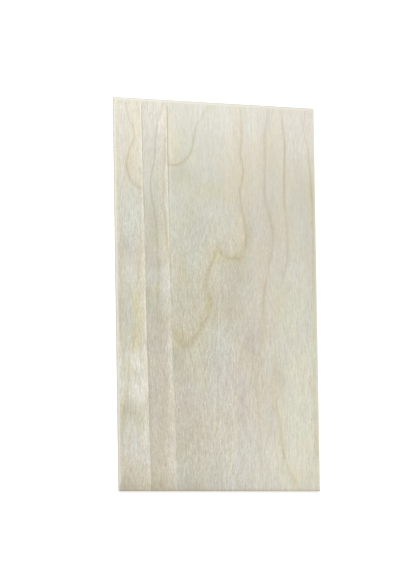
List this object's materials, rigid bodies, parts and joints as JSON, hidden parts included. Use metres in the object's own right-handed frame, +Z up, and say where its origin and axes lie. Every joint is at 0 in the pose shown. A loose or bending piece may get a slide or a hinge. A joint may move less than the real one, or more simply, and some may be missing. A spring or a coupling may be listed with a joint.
{
  "type": "plywood sheet",
  "caption": "Thin rectangular plywood sheet with lapped joints along its pale face veneer, flat stock for cutting, gluing and panelling.",
  "frame": {"origin": "centre of the underside", "axes": "+X across the sheet, with the lapped joints on the -X side; +Y along the face grain, towards the end shown at the top of the picture; +Z up, out of the better face"},
  "size_m": [0.3, 0.44, 0.0033],
  "materials": {
    "plywood": "matte"
  },
  "bodies": {
    "root": {"plywood_sheet": "plywood"}
  },
  "joints": []
}
